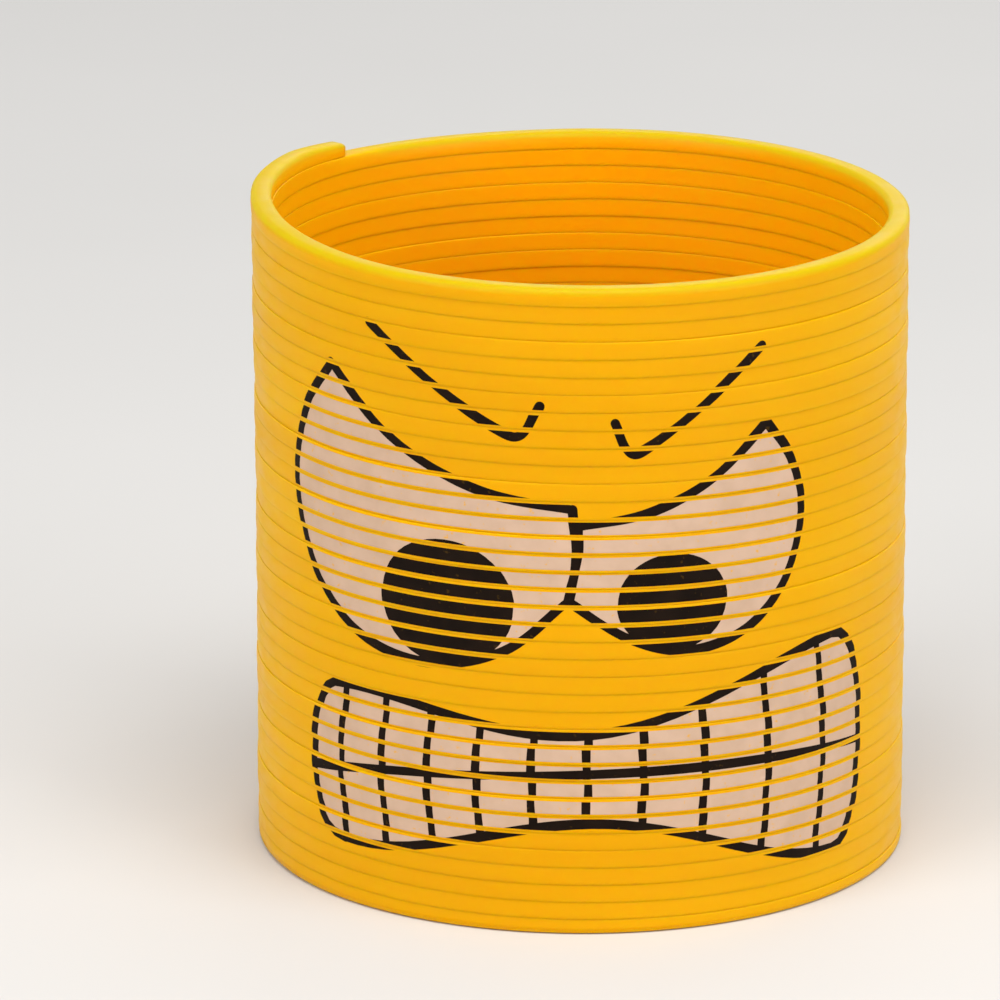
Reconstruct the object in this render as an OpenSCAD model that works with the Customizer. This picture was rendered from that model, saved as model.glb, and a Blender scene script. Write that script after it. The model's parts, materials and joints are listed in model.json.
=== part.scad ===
// Spring coil toy: one plastic strip wound as a left-handed helix of touching turns.
// Every turn is its own solid, because every turn moves when the coil stretches or arches.
// +Z is the coil's axis, -Y is the front and +X is the side the coil arches over.

/* [Coil] */
// Outer diameter of the coil
outer_d = 75; // [60:0.5:90]
// Rise of the strip in one turn, with the turns resting on each other
pitch = 2.05; // [1.7:0.05:2.4]

/* [Strip] */
// Thickness of the strip along the coil's axis
strip_t = 1.92; // [1.5:0.02:1.94]
// Width of the strip across its wall
strip_w = 2.4; // [1.8:0.1:3.2]
// Bevel on the strip's four edges
strip_bevel = 0.3; // [0.1:0.05:0.4]

/* [Turns] */
// Whole turns in the closed end that the coil stands on
bottom_turns = 4; // [2:1:6]
// Turns that open and close in the middle
moving_turns = 28; // [8:1:28]
// Whole turns in the closed end at the top
top_turns = 4; // [2:1:6]

/* [Ends] */
// Direction of the strip's lower end, seen from above
start_angle = 60; // [30:1:90]
// Direction of the strip's upper end, seen from above
end_angle = 140; // [110:1:160]
// Stretch of the lowest turn that is flat underneath
foot_arc = 200; // [190:1:240]
// Radius of the rounding on both ends of the strip, seen from above
tip_r = 1.3; // [1.25:0.05:2]
// How much thinner the strip's upper end gets
tip_thinning = 0.6; // [0.1:0.05:0.8]
// Length of strip over which it gets thinner
taper_l = 9; // [4:0.5:12]
// Radius that rounds the upper end over
nose_r = 1; // [0.5:0.1:1]

/* [Links] */
// Stretch of strip in each link, the short length that bends when the coil arches
link_arc = 30; // [20:1:40]
// Gap between a link and the turns it joins
cut_gap = 0.12; // [0.1:0.01:0.3]

/* [Hidden] */
outer_r = outer_d / 2;
mid_r = outer_r - strip_w / 2;
half_link = link_arc / 2;
// A gap's angle at the middle of the wall
gap_angle = cut_gap / mid_r * 180 / PI;
// Longest arc that stays on the helix to about a hundredth of a millimetre
arc_max = 85;
// Half the gap between two arcs of one turn, which a slightly larger collar fills
seam_gap = 0.4;
collar_grow = 0.02;
// Tilt of the strip along the helix
helix_tilt = atan(pitch / (2 * PI * mid_r));
// The lower end starts below the floor by this much, and the floor cuts it flat
foot_cut = pitch * foot_arc / 360;
bottom_arc = 360 * bottom_turns + start_angle + half_link;
top_arc = 360 * top_turns + 360 - half_link - end_angle;
// Height of the strip's underside where the first moving turn begins, and at its upper end
first_z = pitch * bottom_arc / 360 - foot_cut;
end_z = first_z + pitch * (moving_turns + top_arc / 360);
// Clearance over and under the strip's ends when they are rounded
tip_room = (pitch - strip_t) / 2;
$fn = 96;

// Turns are numbered upwards. A link joins each turn to the next one up.
function two_digits(k) = k < 10 ? str("0", k) : str(k);
function turn_name(k) = str("turn_", two_digits(k));
function link_name(k) = str("link_", two_digits(k));

// The strip's cross-section, with its underside on the X axis
module strip_section(grow = 0) {
  inner = outer_r - strip_w - grow;
  outer = outer_r + grow;
  low = -grow;
  high = strip_t + grow;
  polygon([
    [inner + strip_bevel, low],
    [outer - strip_bevel, low],
    [outer, low + strip_bevel],
    [outer, high - strip_bevel],
    [outer - strip_bevel, high],
    [inner + strip_bevel, high],
    [inner, high - strip_bevel],
    [inner, low + strip_bevel]
  ]);
}

// One arc of strip between two angles about a direction, tilted to follow the helix there
module tilted_arc(direction, height, low, high, tilt, grow = 0) {
  translate([0, 0, height])
    rotate([0, 0, direction])
      rotate([-tilt, 0, 0])
        rotate_extrude(angle = high - low, start = low)
          strip_section(grow);
}

// A length of strip that climbs clockwise from one direction, seen from above
module strip(from, length, height) {
  arcs = ceil(length / arc_max);
  span = length / arcs;
  tilt = atan(pitch * span / 360 / (2 * mid_r * sin(span / 2)));
  for (i = [0:arcs - 1]) {
    middle = span * (i + 0.5);
    // Arcs of one strip end inside the collars, just short of each other
    before = i > 0 ? seam_gap : 0;
    after = i < arcs - 1 ? seam_gap : 0;
    low = after - span / 2;
    high = span / 2 - before;
    tilted_arc(from - middle, height + pitch * middle / 360, low, high, tilt);
  }
  collar = 2 * seam_gap;
  for (i = [1:1:arcs - 1]) {
    along = span * i;
    tilted_arc(from - along, height + pitch * along / 360, -collar, collar, helix_tilt, collar_grow);
  }
}

// What is cut off to round a strip's upper end, or its lower end when lower is true
module tip_waste(direction, low, high, lower = false) {
  rotate([0, 0, direction])
    mirror([0, lower ? 1 : 0, 0])
      translate([mid_r, 0, low])
        difference() {
          translate([-strip_w, -strip_w, 0])
            cube([2 * strip_w, strip_w + tip_r, high - low]);
          translate([0, tip_r, -1])
            cylinder(r = tip_r, h = high - low + 2);
        }
}

// What is cut off the top of the strip's upper end to thin it and round it over
module nose_waste(direction, top) {
  rotate([0, 0, direction])
    translate([mid_r - 2 * strip_w, taper_l, top])
      rotate([atan(tip_thinning / taper_l), 0, 0]) {
        translate([0, -2 * taper_l, 0])
          cube([4 * strip_w, 2 * taper_l, pitch]);
        translate([0, -taper_l, -nose_r])
          difference() {
            translate([0, -pitch, 0])
              cube([4 * strip_w, pitch + nose_r, pitch]);
            translate([-1, nose_r, 0])
              rotate([0, 90, 0])
                cylinder(r = nose_r, h = 4 * strip_w + 2);
          }
      }
}

// The closed turns that the coil stands on, cut flat underneath
module bottom_coils() {
  color("orange")
    difference() {
      strip(start_angle, bottom_arc - gap_angle / 2, -foot_cut);
      tip_waste(start_angle, -2 * pitch, strip_t - foot_cut + tip_room, lower = true);
      translate([-outer_d, -outer_d, -2 * pitch])
        cube([2 * outer_d, 2 * outer_d, 2 * pitch]);
    }
}

// One moving turn, from just after the link below it to just before the link above it
module turn(k) {
  color("orange")
    strip(-half_link - gap_angle / 2, 360 - link_arc - gap_angle, first_z + pitch * (k - 1));
}

// The short length of strip on the +X side that bends between two turns
module link(k) {
  color("darkorange")
    strip(half_link - gap_angle / 2, link_arc - gap_angle, first_z + pitch * (k - link_arc / 360));
}

// The closed turns at the top, ending in a thinned and rounded tip
module top_coils() {
  color("orange")
    difference() {
      strip(-half_link - gap_angle / 2, top_arc - gap_angle / 2, first_z + pitch * moving_turns);
      tip_waste(end_angle, end_z - tip_room, end_z + 2 * pitch);
      nose_waste(end_angle, end_z + strip_t);
    }
}

bottom_coils();
for (k = [1:moving_turns]) {
  turn(k);
  link(k);
}
top_coils();
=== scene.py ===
"""Spring coil toy: a yellow strip wound in touching turns, with an angry face printed across the front."""
import json
import math

import bpy
import numpy as np
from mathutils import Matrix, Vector
from mathutils.geometry import delaunay_2d_cdt


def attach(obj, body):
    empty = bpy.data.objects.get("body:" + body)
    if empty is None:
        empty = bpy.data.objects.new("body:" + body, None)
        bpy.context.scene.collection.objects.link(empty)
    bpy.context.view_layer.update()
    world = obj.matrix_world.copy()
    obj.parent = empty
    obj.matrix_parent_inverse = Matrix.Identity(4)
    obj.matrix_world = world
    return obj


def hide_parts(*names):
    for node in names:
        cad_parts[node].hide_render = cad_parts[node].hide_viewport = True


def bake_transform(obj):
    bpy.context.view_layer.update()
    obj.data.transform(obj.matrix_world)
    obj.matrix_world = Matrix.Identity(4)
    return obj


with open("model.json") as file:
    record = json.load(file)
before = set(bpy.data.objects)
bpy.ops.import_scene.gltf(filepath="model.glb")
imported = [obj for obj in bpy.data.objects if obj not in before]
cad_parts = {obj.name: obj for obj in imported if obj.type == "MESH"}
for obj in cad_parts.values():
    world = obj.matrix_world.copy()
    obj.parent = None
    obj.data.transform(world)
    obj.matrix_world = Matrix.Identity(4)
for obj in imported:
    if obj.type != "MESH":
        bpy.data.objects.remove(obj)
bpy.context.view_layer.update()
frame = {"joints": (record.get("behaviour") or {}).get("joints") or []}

MM = 0.001
TAU = 2 * math.pi

# --- The helix, from the joints. A place on it is counted in turns up from the middle of the first link ---

JOINTS = {joint["name"]: joint for joint in frame["joints"]}
OUTER_R = JOINTS["bend_01"]["pos_m"][0]
FIRST_Z = JOINTS["bend_01"]["pos_m"][2]
PITCH = JOINTS["bend_02"]["pos_m"][2] - FIRST_Z
MOVING = sum(name.startswith("bend_") for name in JOINTS)
HALF_LINK = 15 / 360                # half of a link's 30 degrees, in turns
FRONT = 90 / 360                    # where the strip crosses the front, -Y
START = -5 - 60 / 360               # the strip's lower end, at 60 degrees from +X
END = MOVING + 4 - 140 / 360        # its upper end, at 140 degrees

# --- The strip ---

STRIP_W = 2.4 * MM                  # width across the coil's wall
STRIP_T = 2.045 * MM                # thickness, which just fills the pitch
MID_R = OUTER_R - STRIP_W / 2
INSET = 0.04 * MM                   # how far the strip's face lies inside the coil's nominal radius
EDGE_OUT = 0.04 * MM                # how deep each edge is rounded off between two turns
EDGE_UP = 0.5 * MM                  # and over what height
EDGE_R = 0.85 * MM                  # rounding of the edges that no other turn covers
EDGE_SHARE = 0.85                   # share of that radius over which they are rounded
CROWN = 0.025 * MM                  # swelling of the outer face between its edges
EDGE_STEPS = 4
RINGS_PER_TURN = 144

# --- The strip's tips ---

TIP_R = 1.3 * MM                    # rounding seen from above
TIP_STEPS = 7
TIP_TURN = 12                       # degrees of the rounding from one ring to the next
TIP_LEAST = 0.02                    # share of the width that is left at the very end, on top of the rounding
TIP_THINNING = 0.6 * MM
TAPER_L = 9 * MM
NOSE_R = 1 * MM
COVER_FADE = 0.06                   # turns over which the next turn begins to cover the strip

# --- The stack's lean: the back left of the top stands a little high and a little out ---

LEAN = 1.05 * MM
LEAN_ANGLE = math.radians(168)
LEAN_SPREAD = 1.25                  # it ends 90 degrees divided by this to each side of its angle
LEAN_OUT = 0.3                      # how far it goes outwards for each millimetre upwards

# --- The glow: how far light spreads inside the plastic, and the strip over which it fades at a join ---

GLOW = 1.4 * MM
GLOW_FADE = 4 * MM
GLOW_LEAST = 0.03                   # share of it that is left at a join

# --- The print ---

PRINT_HALF = 27                     # how far it goes round from the front, in rings
LINE = 1.12 * MM                    # width of its lines
SLIP = 0.1 * MM                     # how far one turn's print is out of line with the next


# ------------------------------------------- curves -------------------------------------------

def smooth(points, steps=10):
    """Points along a Catmull-Rom curve through the given ones, which are in millimetres."""
    points = [Vector(p) * MM for p in points]
    padded = [2 * points[0] - points[1]] + points + [2 * points[-1] - points[-2]]
    curve = []
    for a, b, c, d in zip(padded, padded[1:], padded[2:], padded[3:]):
        for i in range(steps):
            t = i / steps
            curve.append(0.5 * (2 * b + (c - a) * t + (2 * a - 5 * b + 4 * c - d) * t ** 2
                                + (3 * b - a - 3 * c + d) * t ** 3))
    return curve + [points[-1]]


def stroke(line, width):
    """The outline of a pen stroke with round ends along a line."""
    last = len(line) - 1
    sides = []
    for i, point in enumerate(line):
        along = (line[min(i + 1, last)] - line[max(i - 1, 0)]).normalized()
        across = Vector((-along.y, along.x))
        press = 0.92 + 0.16 * math.sin(5 * (i / last) + 40 * line[0].x / MM) ** 2
        sides.append((point, along, across * (width / 2 * press)))
    left = [p + across for p, _, across in sides]
    right = [p - across for p, _, across in sides]
    return left + round_end(sides[-1], 1) + right[::-1] + round_end(sides[0], -1)


def round_end(side, way, steps=8):
    """The half circle that closes a stroke at one end."""
    point, along, across = side
    half = across.length
    turns = [math.pi * i / steps for i in range(1, steps)]
    return [point + way * (across * math.cos(t) + along * half * math.sin(t)) for t in turns]


def ellipse(centre, radii, steps=48):
    """An ellipse, in millimetres."""
    (x, y), (wide, high) = centre, radii
    turns = [TAU * i / steps for i in range(steps)]
    return [Vector((x + wide * math.cos(t), y + high * math.sin(t))) * MM for t in turns]


# ------------------------------------ the face, unrolled flat ------------------------------------
# Across is measured from the middle of the front, and up from the floor, in millimetres.

NOSE = -0.5
EYE_Z = 41


def eye(side, wide, high):
    """An eye whose slanted lid runs down to the nose: its white, its outline and its pupil."""
    def place(across, up):
        return NOSE + side * across * wide, EYE_Z + (up - EYE_Z) * high
    peak, inner, low = place(26.6, 61.2), place(0.4, 49.2), (NOSE - 0.9, 39.4)
    lid = smooth([peak, place(18.6, 54.8), place(9.6, 50.8), inner])
    bowl = smooth([peak, place(30.8, 55.2), place(32.4, 47.6), place(29.6, 39.4), place(23.3, 33.8),
                   place(15, 31.9), place(7, 34), low])
    nose = smooth([inner, (NOSE + 0.1, 44), low])
    pupil = ellipse(place(13, 38.6), (7.4 * high, 6.6 * high))
    outlines = [("black", stroke(line, LINE)) for line in (lid, bowl, nose)]
    return [("white", lid + nose + bowl[::-1]), ("black", pupil)] + outlines


def brow(side, size, drop):
    """A frowning brow with a small crease at the nose."""
    points = [(25.2, 69.4), (16.2, 63.2), (9.6, 59.3), (6.6, 58.5), (4.6, 62)]
    line = smooth([(side * x * size, z - drop) for x, z in points])
    return [("black", stroke(line, LINE))]


MOUTH_MIDDLE = 1.3
MOUTH_HALF = 31


def lip(across, upper):
    """Height of the upper or lower lip of the grimace, which spreads towards both ends."""
    spread = (1 - math.cos(math.pi * (across - MOUTH_MIDDLE) / MOUTH_HALF)) / 2
    if upper:
        return 23.6 + 5.2 * spread + 0.09 * across
    return 13.2 - (6.3 + 0.03 * across) * spread


def mouth_end(side, reach=5.5, steps=14):
    """The rounded end of the mouth, from its upper lip to its lower lip."""
    across = MOUTH_MIDDLE + side * MOUTH_HALF
    middle = (lip(across, True) + lip(across, False)) / 2
    half = (lip(across, True) - lip(across, False)) / 2
    end = []
    for i in range(steps + 1):
        turn = math.pi * i / steps
        out = side * reach * math.sin(turn) ** 0.8
        end.append(Vector((across + out, middle + half * math.cos(turn))) * MM)
    return end


def mouth():
    """Clenched teeth in two rows."""
    steps = 16
    places = [MOUTH_MIDDLE + MOUTH_HALF * i / steps for i in range(-steps, steps + 1)]
    upper = [Vector((x, lip(x, True))) * MM for x in places]
    lower = [Vector((x, lip(x, False))) * MM for x in places]
    left, right = mouth_end(-1), mouth_end(1)
    bite = smooth([(-34.6, 15.4), (-20, 17.6), (0, 19), (20, 19), (37.2, 17.8)])
    shapes = [("white", upper + right + lower[::-1] + left[::-1])]
    shapes += [("black", stroke(line, LINE)) for line in (upper, lower, left, right)]
    shapes.append(("black", stroke(bite, 0.95 * LINE)))
    for x in (-29.2, -23.2, -17.3, -11.5, -5.3, 0.8, 7, 14, 21.8, 29.8):
        low, high = lip(x, False), lip(x, True)
        tooth = smooth([(x, low), (1.04 * x, low / 2 + high / 2), (x, high)])
        shapes.append(("black", stroke(tooth, 0.85 * LINE)))
    return shapes


EYES = eye(-1, 1.17, 1.11) + eye(1, 0.85, 0.87)
BROWS = brow(-1, 1.02, 0) + brow(1, 0.84, 1.9)
FACE = EYES + BROWS + mouth()


# ------------------------------------------ the strip ------------------------------------------

def edge(out, up, first, last):
    """Points round one edge of the strip: distance out from the coil's outside, height, and normal."""
    side = 1 if math.cos(math.radians((first + last) / 2)) > 0 else -1
    points = []
    for i in range(EDGE_STEPS + 1):
        turn = math.radians(first + (last - first) * i / EDGE_STEPS)
        x, y = math.cos(turn), math.sin(turn)
        normal = Vector((x / EDGE_OUT + side / EDGE_UP, y / EDGE_UP)).normalized()
        points.append((out + EDGE_OUT * x, up + EDGE_UP * y, normal.x, normal.y))
    return points


def section():
    """The loop round the strip, starting halfway round its lower outer edge."""
    high = STRIP_T - EDGE_UP
    low_out = edge(-EDGE_OUT - CROWN, EDGE_UP, -90, -3)
    top_out = edge(-EDGE_OUT - CROWN, high, 3, 90)
    loop = low_out + [(0, STRIP_T / 2, 1, 0)] + top_out
    across = [-STRIP_W * share for share in (0.12, 0.25, 0.75, 0.88)]
    loop += [(x, STRIP_T, 0, 1) for x in across]
    loop += edge(EDGE_OUT - STRIP_W, high, 90, 180) + edge(EDGE_OUT - STRIP_W, EDGE_UP, 180, 270)
    loop += [(x, 0, 0, -1) for x in reversed(across)]
    half = EDGE_STEPS // 2
    return loop[half:] + loop[:half]


SECTION = section()
FACE_ROWS = EDGE_STEPS + 2          # steps of the loop across the outer face
INK_LOW = SECTION[1][1]             # the print stops short of each turn's edges
INK_HIGH = SECTION[FACE_ROWS - 1][1]


def sway(turns):
    """How far the stack is out of line there in x and in y, as loosely stacked turns are, in millimetres."""
    return (0.055 * math.sin(2.1 * turns + 0.4) + 0.04 * math.sin(5.3 * turns + 1),
            0.05 * math.cos(1.7 * turns) + 0.03 * math.sin(4.1 * turns + 2))


def lean(angle, height):
    """How far the stack stands above the helix: most at the top, and nothing below the middle."""
    aside = LEAN_SPREAD * math.remainder(angle - LEAN_ANGLE, TAU)
    if abs(aside) > math.pi / 2:
        return 0
    level = min(1, max(0, height / (PITCH * (END - START)) * 2 - 1))
    return LEAN * level ** 2 * (3 - 2 * level) * math.cos(aside) ** 2


def tip_shape(turns):
    """The strip's width there as a share of the whole, and how far its side faces along the strip."""
    way = -1 if turns - START < END - turns else 1
    near = min(turns - START, END - turns) * TAU * MID_R
    if near >= TIP_R:
        return 1, 0
    half = math.sqrt(max(TIP_R ** 2 - (TIP_R - near) ** 2, 0))
    return min(1, half / (STRIP_W / 2) + TIP_LEAST), way * (1 - near / TIP_R)


def thickness(turns):
    """The strip's thickness there, which falls away towards the top end and is rounded over at its nose."""
    near = (END - turns) * TAU * MID_R
    thick = STRIP_T - TIP_THINNING * max(0, 1 - near / TAPER_L)
    short = max(0, 1 - near / NOSE_R)
    return thick - NOSE_R * (1 - math.sqrt(1 - short ** 2))


def bareness(turns, up):
    """How far the strip is uncovered there: 1 on the top and the bottom of the coil, and 0 between."""
    bare = turns - END + 1 if up > STRIP_T / 2 else START + 1 - turns
    return min(1, max(0, 0.5 + bare / COVER_FADE)) * abs(2 * up / STRIP_T - 1)


def glow(below, above):
    """How far light spreads inside the plastic: less near a piece's ends, so that its joins don't show."""
    near = min(below, above) * TAU * MID_R
    return GLOW * min(1, GLOW_LEAST + near / GLOW_FADE)


def soften(turns, out, up, normal):
    """Rounds the strip's edges more where no other turn covers them."""
    share = bareness(turns, up)
    aside = max(0, EDGE_SHARE - min(-out, out + STRIP_W) / EDGE_R)
    if not share or not aside:
        return up, normal
    drop = share * EDGE_R * (1 - math.sqrt(1 - aside ** 2))
    side = 1 if out > -STRIP_W / 2 else -1
    way = 1 if up > STRIP_T / 2 else -1
    tilted = Vector((side * aside, way * math.sqrt(1 - aside ** 2)))
    return up - way * drop, Vector(normal).lerp(tilted, share).normalized()


def strip_point(turns, out, up, normal):
    """A point of the strip and its normal, from its place along the helix and across the section."""
    up, normal = soften(turns, out, up, normal)
    angle = -TAU * turns
    under = FIRST_Z + PITCH * turns
    floor_cut = max(0, -under)
    height = under + floor_cut + up / STRIP_T * (thickness(turns) - floor_cut)
    width, end = tip_shape(turns)
    out = -STRIP_W / 2 + (out + STRIP_W / 2) * width
    lift = lean(angle, height)
    radius = OUTER_R - INSET + out + LEAN_OUT * lift
    x_sway, y_sway = sway(turns)
    point = (radius * math.cos(angle) + x_sway * MM, radius * math.sin(angle) + y_sway * MM, height + lift)
    outwards = normal[0] * (1 - abs(end))
    facing = Vector((outwards * math.cos(angle) + end * math.sin(angle),
                     outwards * math.sin(angle) - end * math.cos(angle), normal[1]))
    return point, facing.normalized()


def on_section(up):
    """The distance out and the normal of the strip's face at a height, between the rows of the section."""
    rows = SECTION[:FACE_ROWS + 1]
    for low, high in zip(rows, rows[1:]):
        if up <= high[1]:
            t = (up - low[1]) / (high[1] - low[1])
            return [a + (b - a) * t for a, b in zip(low, high)]
    return list(rows[-1])


def rings(first, last):
    """Where the rings of a piece go: on one grid for all pieces, but closer at the strip's tips."""
    low = math.ceil(first * RINGS_PER_TURN + 0.01)
    high = math.floor(last * RINGS_PER_TURN - 0.01)
    places = [n / RINGS_PER_TURN for n in range(low, high + 1)]
    turned = [math.radians(TIP_TURN * i) for i in range(1, TIP_STEPS + 1)]
    tip = [TIP_R * (1 - math.cos(t)) / (TAU * MID_R) for t in turned]
    clear = tip[-1] + 0.3 / RINGS_PER_TURN
    if first == START:
        places = [START + t for t in tip] + [t for t in places if t > START + clear]
    if last == END:
        places = [t for t in places if t < END - clear] + [END - t for t in reversed(tip)]
    return [first] + places + [last]


class StripMesh:
    """The points and faces of one length of strip. Each face has its ink, and each point its normal, how many
    turns up it is, how much it takes of the painted highlight on the coil's top turn and of the painted
    bounce light on the inside of the wall, and how far light spreads there."""

    def __init__(self, first, last):
        self.rings = rings(first, last)
        self.points, self.normals, self.turns = [], [], []
        self.rim, self.inside, self.glow = [], [], []
        self.faces, self.inks = [], []
        for turns in self.rings:
            for out, up, *normal in SECTION:
                self.add_point(turns, out, up, normal)
        printed = self.add_prints()
        self.add_walls(printed)
        self.add_caps()

    def add_point(self, turns, out, up, normal):
        """Adds a point of the strip and returns its number."""
        point, facing = strip_point(turns, out, up, normal)
        self.points.append(point)
        self.normals.append(facing)
        self.turns.append(turns)
        # Mask of the painted highlight: a paler tint on the upper half of the coil's top turn, standing in
        # for the strong light from above.
        self.rim.append(bareness(turns, up) if up > STRIP_T / 2 else 0)
        # Mask of the painted bounce light on the inner half of the wall.
        self.inside.append(max(0, -2 * out / STRIP_W - 1))
        self.glow.append(glow(turns - self.rings[0], self.rings[-1] - turns))
        return len(self.points) - 1

    def add_walls(self, printed):
        """The plain faces between the rings, leaving out those that the print has divided."""
        loop = len(SECTION)
        for i in range(len(self.rings) - 1):
            for row in range(loop):
                if row < FACE_ROWS and i in printed:
                    continue
                a, b = i * loop + row, i * loop + (row + 1) % loop
                self.faces.append((a, b, b + loop, a + loop))
                self.inks.append("plastic")

    def add_caps(self):
        """The faces that close both ends."""
        loop = len(SECTION)
        last = (len(self.rings) - 1) * loop
        self.faces += [tuple(range(loop - 1, -1, -1)), tuple(range(last, last + loop))]
        self.inks += ["plastic", "plastic"]

    def add_prints(self):
        """Divides the outer face along the print wherever the strip crosses the front."""
        printed = set()
        reach = (PRINT_HALF + 0.5) / RINGS_PER_TURN
        front = math.ceil(self.rings[0] - FRONT) + FRONT
        while front < self.rings[-1]:
            span = [i for i, turns in enumerate(self.rings) if abs(turns - front) < reach]
            if len(span) == 2 * PRINT_HALF + 1:
                self.add_print(front, span)
                printed.update(span[:-1])
            front += 1
        return printed

    def add_print(self, front, span):
        """Replaces the outer face across one front by triangles whose edges follow the print."""
        corners, lines = self.face_grid(front, span)
        known = [i * len(SECTION) + row for row in range(FACE_ROWS + 1) for i in span]
        outlines = print_on(front)
        for _, outline in outlines:
            for a, b in zip(outline, outline[1:] + outline[:1]):
                part = between(a, b, INK_LOW, INK_HIGH)
                if part:
                    lines.append((len(corners), len(corners) + 1))
                    corners += part
        corners = [corner / MM for corner in corners]
        flat, _, triangles, sources, _, _ = delaunay_2d_cdt(corners, lines, [], 0, 1e-5)
        places = []
        for spot, source in zip(flat, sources):
            own = [known[i] for i in source if i < len(known)]
            places.append(own[0] if own else self.add_spot(front, spot.x * MM, spot.y * MM))
        triangles = [t for t in triangles if not is_flat([flat[i].y for i in t])]
        middles = np.array([triangle_middle([flat[i] for i in t]) for t in triangles])
        self.faces += [tuple(places[i] for i in t) for t in triangles]
        self.inks += inks_at(middles, outlines)

    def face_grid(self, front, span):
        """The outer face across one front, unrolled: its points row by row, and the lines that bound it."""
        across = [(front - self.rings[i]) * TAU * OUTER_R for i in span]
        rows = range(FACE_ROWS + 1)
        corners = [Vector((x, SECTION[row][1])) for row in rows for x in across]
        count = len(span)
        lines = [(row * count + i, row * count + i + 1) for row in rows for i in range(count - 1)]
        lines += [(row * count + i, (row + 1) * count + i) for row in rows[:-1] for i in (0, count - 1)]
        return corners, lines

    def add_spot(self, front, across, up):
        """A new point on the outer face, from its place on the unrolled face."""
        out, _, *normal = on_section(up)
        return self.add_point(front - across / (TAU * OUTER_R), out, up, normal)


def is_flat(heights):
    """Whether a triangle's corners all lie on one row."""
    return max(heights) <= min(heights) + 1e-4


def triangle_middle(corners):
    """The middle of a triangle, in metres, from its corners in millimetres."""
    return [sum(corner[axis] for corner in corners) / 3 * MM for axis in (0, 1)]


def between(a, b, low, high):
    """The part of a line between two heights, or None."""
    if max(a.y, b.y) <= low or min(a.y, b.y) >= high:
        return None
    if a.y == b.y:
        return [a, b]
    shares = sorted(((low - a.y) / (b.y - a.y), (high - a.y) / (b.y - a.y)))
    start, end = max(0, shares[0]), min(1, shares[1])
    return [a + (b - a) * start, a + (b - a) * end]


def inks_at(spots, outlines):
    """The ink at each spot: the last shape drawn there, inside the band that takes ink."""
    found = np.full(len(spots), "plastic", dtype=object)
    x, y = spots[:, :1], spots[:, 1:]
    printable = (y[:, 0] > INK_LOW) & (y[:, 0] < INK_HIGH)
    for ink, outline in outlines:
        a = np.array([p[:] for p in outline])
        b = np.roll(a, -1, axis=0)
        rising = (a[:, 1] > y) != (b[:, 1] > y)
        steep = np.where(b[:, 1] == a[:, 1], 1, b[:, 1] - a[:, 1])
        crossing = rising & (x < a[:, 0] + (y - a[:, 1]) / steep * (b[:, 0] - a[:, 0]))
        found[(crossing.sum(axis=1) % 2 == 1) & printable] = ink
    return list(found)


def print_on(front):
    """The face's shapes that reach one turn, measured across and up from the strip's underside."""
    slip = SLIP * math.sin(2.3 * front)
    rise = PITCH / (TAU * OUTER_R)
    under = FIRST_Z + PITCH * front
    shapes = []
    for ink, outline in FACE:
        local = [Vector((p.x + slip, p.y - under + rise * p.x)) for p in outline]
        if min(p.y for p in local) < INK_HIGH and max(p.y for p in local) > INK_LOW:
            shapes.append((ink, local))
    return shapes


def make_strip(piece_name, first, last):
    """The Blender object for one length of strip, and how many turns up each of its points is."""
    strip = StripMesh(first, last)
    mesh = bpy.data.meshes.new(piece_name)
    mesh.from_pydata(strip.points, [], strip.faces)
    for material in MATERIALS.values():
        mesh.materials.append(material)
    slots = list(MATERIALS)
    mesh.polygons.foreach_set("material_index", [slots.index(ink) for ink in strip.inks])
    mesh.polygons.foreach_set("use_smooth", [True] * len(mesh.polygons))
    mesh.update()
    mesh.normals_split_custom_set_from_vertices(strip.normals)
    # The masks of the painted highlight and the painted bounce light go to the mesh, with the glow.
    for name, values in (("rim", strip.rim), ("inside", strip.inside), ("glow", strip.glow)):
        mesh.attributes.new(name, "FLOAT", "POINT").data.foreach_set("value", values)
    piece = bpy.data.objects.new(piece_name, mesh)
    bpy.context.scene.collection.objects.link(piece)
    return piece, strip.turns


def stretch_between(piece):
    """Bakes the piece's placement into its mesh; it is not made to follow any body."""
    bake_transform(piece)


# ------------------------------------------ materials ------------------------------------------

def new_material(name):
    """A new material, its nodes and links, and its shader."""
    material = bpy.data.materials.new(name)
    material.use_nodes = True
    nodes = material.node_tree.nodes
    return material, nodes, material.node_tree.links, nodes["Principled BSDF"]


def noise(nodes, links, scale, detail=2.0, stretch=(1, 1, 1)):
    """Noise that stays with the object, as an output socket."""
    place_node = nodes.new("ShaderNodeTexCoord")
    mapping = nodes.new("ShaderNodeMapping")
    mapping.inputs["Scale"].default_value = stretch
    texture = nodes.new("ShaderNodeTexNoise")
    texture.inputs["Scale"].default_value = scale
    texture.inputs["Detail"].default_value = detail
    links.new(place_node.outputs["Object"], mapping.inputs["Vector"])
    links.new(mapping.outputs["Vector"], texture.inputs["Vector"])
    return texture.outputs["Fac"]


def ramp(nodes, links, value, low, high, colour_low, colour_high):
    """A colour that runs between two as a value runs between two."""
    node = nodes.new("ShaderNodeValToRGB")
    node.color_ramp.elements[0].position = low
    node.color_ramp.elements[1].position = high
    node.color_ramp.elements[0].color = (*colour_low, 1)
    node.color_ramp.elements[1].color = (*colour_high, 1)
    links.new(value, node.inputs["Fac"])
    return node.outputs["Color"]


def bump(nodes, links, shader, height, strength, distance):
    """Makes a shader's surface rise and fall with a value."""
    node = nodes.new("ShaderNodeBump")
    node.inputs["Strength"].default_value = strength
    node.inputs["Distance"].default_value = distance
    links.new(height, node.inputs["Height"])
    links.new(node.outputs["Normal"], shader.inputs["Normal"])


def plain(nodes, colour):
    """One colour, as an output socket."""
    node = nodes.new("ShaderNodeRGB")
    node.outputs[0].default_value = (*colour, 1)
    return node.outputs[0]


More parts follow.
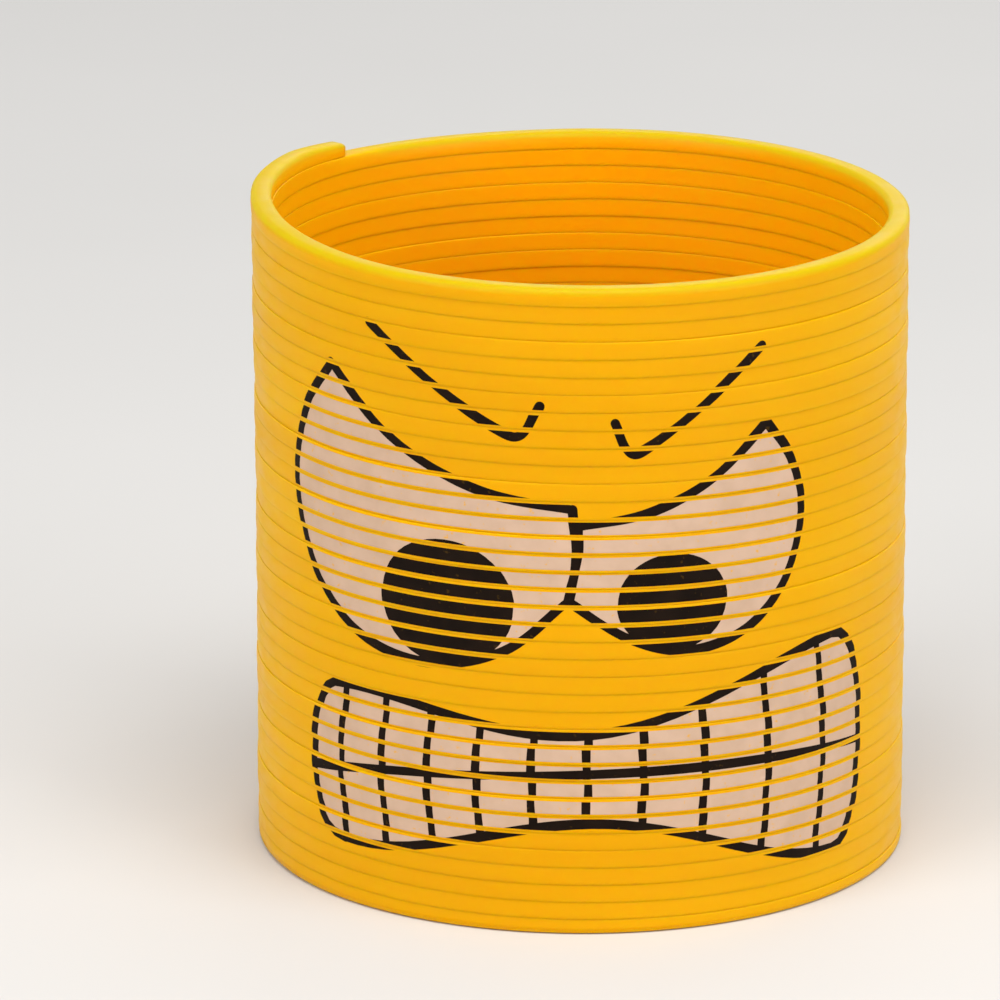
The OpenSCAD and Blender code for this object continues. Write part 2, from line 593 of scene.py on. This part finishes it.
def attribute(nodes, name):
    """A value that the mesh holds at each of its points."""
    node = nodes.new("ShaderNodeAttribute")
    node.attribute_name = name
    return node.outputs["Fac"]


def mix(nodes, links, share, first, second):
    """A colour between two others."""
    node = nodes.new("ShaderNodeMix")
    node.data_type = "RGBA"
    links.new(share, node.inputs["Factor"])
    links.new(first, node.inputs[6])
    links.new(second, node.inputs[7])
    return node.outputs[2]


SPECULAR_INK = 0.06
YELLOW_LOW = (0.74, 0.36, 0.0003)
YELLOW_HIGH = (0.78, 0.40, 0.0006)
# Painted highlight: a paler tint for the top face of the coil's top turn, where the light from above is
# strongest.
RIM_HIGHLIGHT_YELLOW = (0.57, 0.385, 0.001)
# Painted bounce light: a warmer, brighter tint for the inside of the coil, standing in for light reflected
# between its walls.
INSIDE_BOUNCE_LIGHT_YELLOW = (0.88, 0.395, 0.0004)


def yellow_plastic():
    """Moulded plastic with bands of tone, grain and rub marks, and painted light: a warmer, brighter tint on
    the inside of the wall as painted bounce light, and a paler tint on the coil's top turn as a painted
    highlight.
    """
    material, nodes, links, shader = new_material("coil_plastic")
    tone = noise(nodes, links, 45, 3, (0.4, 0.4, 3))
    body = ramp(nodes, links, tone, 0.3, 0.7, YELLOW_LOW, YELLOW_HIGH)
    # Painted bounce light: the inner face of the wall takes the warmer, brighter tint.
    wall_with_bounce_light = mix(nodes, links, attribute(nodes, "inside"), body, plain(nodes, INSIDE_BOUNCE_LIGHT_YELLOW))
    # Painted highlight: the paler tint laid over the coil's top turn.
    rim = plain(nodes, RIM_HIGHLIGHT_YELLOW)
    links.new(mix(nodes, links, attribute(nodes, "rim"), wall_with_bounce_light, rim), shader.inputs["Base Color"])
    rub = noise(nodes, links, 260, 4, (1, 1, 2.5))
    links.new(ramp(nodes, links, rub, 0.35, 0.7, (0.34,) * 3, (0.5,) * 3), shader.inputs["Roughness"])
    bump(nodes, links, shader, noise(nodes, links, 2600, 3), 0.12, 0.00004)
    shader.inputs["IOR"].default_value = 1.2
    shader.inputs["Specular IOR Level"].default_value = 0.4
    shader.inputs["Subsurface Weight"].default_value = 1
    # Red spreads less far than green, so that the grooves between turns stay yellow
    shader.inputs["Subsurface Radius"].default_value = (0.5, 0.9, 0.2)
    links.new(attribute(nodes, "glow"), shader.inputs["Subsurface Scale"])
    return material


def ink(name, colour_low, colour_high, show_through):
    """Screen-printed ink: uneven in tone, with the plastic showing through in pinholes."""
    material, nodes, links, shader = new_material(name)
    body = ramp(nodes, links, noise(nodes, links, 320, 4), 0.3, 0.7, colour_low, colour_high)
    speckle = noise(nodes, links, 1500, 2)
    holes = ramp(nodes, links, speckle, 0.66, 0.76, (0,) * 3, (show_through,) * 3)
    plastic = plain(nodes, YELLOW_LOW)
    links.new(mix(nodes, links, holes, body, plastic), shader.inputs["Base Color"])
    wear = ramp(nodes, links, noise(nodes, links, 700, 2), 0.3, 0.7, (0.42,) * 3, (0.58,) * 3)
    links.new(wear, shader.inputs["Roughness"])
    bump(nodes, links, shader, noise(nodes, links, 1900, 3), 0.2, 0.00003)
    shader.inputs["Specular IOR Level"].default_value = SPECULAR_INK
    return material


def black_ink():
    """The ink of the outlines and the pupils."""
    return ink("black_ink", (0.006, 0.003, 0.0015), (0.012, 0.006, 0.003), 0.05)


def white_ink():
    """The pinkish white of the eyes and the teeth."""
    return ink("white_ink", (0.53, 0.36, 0.25), (0.60, 0.41, 0.295), 0.7)


MATERIALS = {"plastic": yellow_plastic(), "black": black_ink(), "white": white_ink()}


# ------------------------------------------ the coil ------------------------------------------

def build_coil():
    """One piece for each CAD node, from the floor up; the lowest is attached to its body, and the CAD nodes
    are hidden.
    """
    bottom, _ = make_strip("strip_bottom_coils", START, -1 + HALF_LINK)
    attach(bottom, "bottom_coils")
    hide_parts("bottom_coils")
    for k in range(1, MOVING + 1):
        turn_body, link_body = f"turn_{k:02d}", f"link_{k:02d}"
        first, last = k - 2 + HALF_LINK, k - 1 - HALF_LINK
        turn, turns = make_strip("strip_" + turn_body, first, last)
        stretch_between(turn)
        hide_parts(turn_body)
        link, turns = make_strip("strip_" + link_body, last, k - 1 + HALF_LINK)
        stretch_between(link)
        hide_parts(link_body)
    first = MOVING - 1 + HALF_LINK
    top, turns = make_strip("strip_top_coils", first, END)
    stretch_between(top)
    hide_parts("top_coils")


# ------------------------------------- floor, light and camera -------------------------------------

def build_floor():
    """A wide, pale sheet of paper."""
    reach = 12
    corners = [(-reach, -reach, 0), (reach, -reach, 0), (reach, reach, 0), (-reach, reach, 0)]
    mesh = bpy.data.meshes.new("floor")
    mesh.from_pydata(corners, [], [(0, 1, 2, 3)])
    material, nodes, links, shader = new_material("floor_paper")
    clouds = noise(nodes, links, 8, 3)
    paper = ramp(nodes, links, clouds, 0.3, 0.7, (0.62, 0.61, 0.595), (0.64, 0.63, 0.615))
    links.new(paper, shader.inputs["Base Color"])
    shader.inputs["Roughness"].default_value = 0.9
    mesh.materials.append(material)
    floor = bpy.data.objects.new("floor", mesh)
    bpy.context.scene.collection.objects.link(floor)


def area_light(name, power, size, location, aim, colour=(1, 1, 1)):
    """A square lamp that shines at a point and doesn't show in the picture."""
    light = bpy.data.lights.new(name, "AREA")
    light.energy = power
    light.size = size
    light.color = colour
    lamp = bpy.data.objects.new(name, light)
    lamp.location = location
    lamp.rotation_euler = (Vector(aim) - Vector(location)).to_track_quat("-Z", "Y").to_euler()
    lamp.visible_camera = False
    bpy.context.scene.collection.objects.link(lamp)


def build_lights():
    """Soft studio light from both sides, above and behind, and from the room all round."""
    centre = (0, 0, 0.035)
    area_light("key", 4.2, 0.5, (-0.65, -0.6, 0.5), centre, (1, 0.98, 0.95))
    area_light("fill", 3.6, 0.6, (0.7, -0.5, 0.4), centre)
    area_light("top", 4.7, 0.5, (0.05, -0.3, 0.8), centre)
    area_light("back", 1.6, 0.6, (0.2, 0.8, 0.5), centre)
    world = bpy.data.worlds.new("studio")
    world.use_nodes = True
    room = world.node_tree.nodes["Background"]
    room.inputs["Color"].default_value = (1, 1, 1, 1)
    room.inputs["Strength"].default_value = 0.46
    bpy.context.scene.world = world


def build_camera():
    """A camera 1 m in front of the coil that looks down on it, with a long lens."""
    down, aside = math.radians(16.96), math.radians(0.533)
    camera = bpy.data.cameras.new("camera")
    camera.sensor_width = 36
    camera.lens = 326.1
    camera.clip_start = 0.01
    holder = bpy.data.objects.new("camera", camera)
    holder.location = (0, -1, 0.3448)
    holder.rotation_euler = (math.pi / 2 - down, 0, aside)
    bpy.context.scene.collection.objects.link(holder)
    bpy.context.scene.camera = holder


build_coil()
build_floor()
build_lights()
build_camera()
bpy.context.scene.view_settings.view_transform = "Standard"
